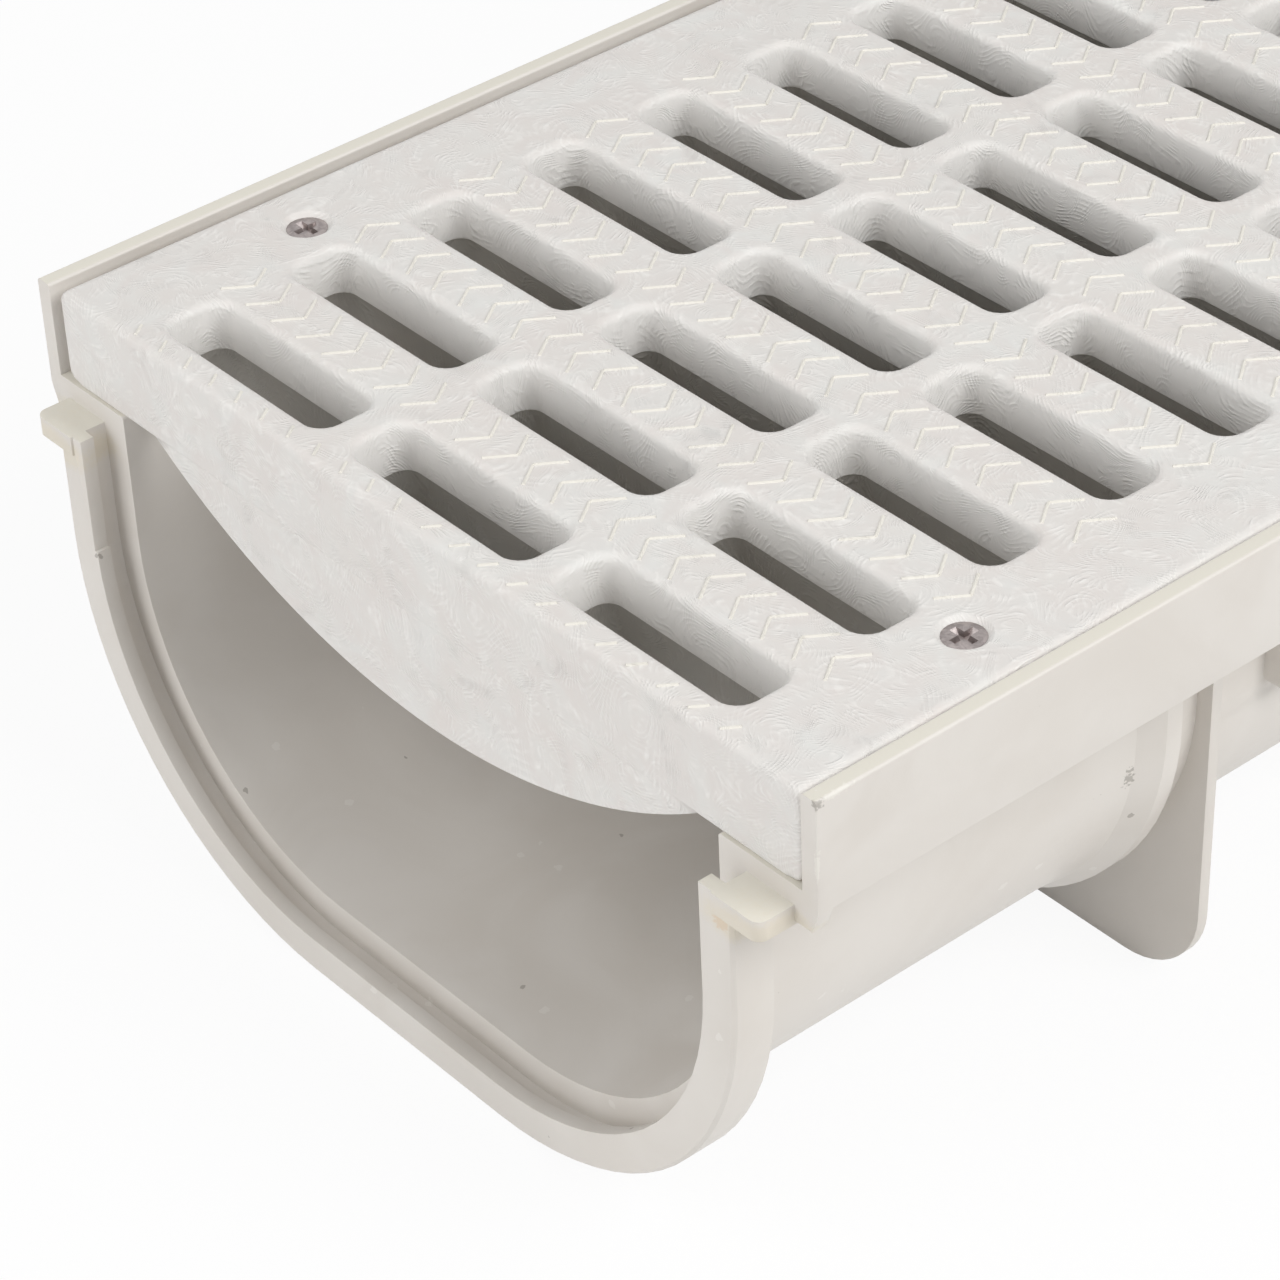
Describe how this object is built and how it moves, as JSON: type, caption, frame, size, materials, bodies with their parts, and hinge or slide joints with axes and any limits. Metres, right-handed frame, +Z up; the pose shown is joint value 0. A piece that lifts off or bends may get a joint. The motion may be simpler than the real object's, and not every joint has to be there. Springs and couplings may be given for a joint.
{
  "type": "channel drain",
  "caption": "Straight drain channel module with a U trough, a jointing collar, foot plates and a slotted grate screwed down between its rims.",
  "frame": {"origin": "on the ground, under the middle of the whole module, collar included", "axes": "+X across the channel, +Y along it away from the jointing collar, +Z up"},
  "size_m": [0.2, 0.5032, 0.1064],
  "materials": {
    "channel_plastic": "satin moulded plastic",
    "grate_plastic": "satin moulded plastic with a faint fibrous flow texture",
    "screw_steel": "plain stainless steel"
  },
  "bodies": {
    "root": {"channel": "channel_plastic", "grate": "grate_plastic", "screw_near_left": "screw_steel", "screw_near_right": "screw_steel", "screw_far_left": "screw_steel", "screw_far_right": "screw_steel"}
  },
  "joints": []
}
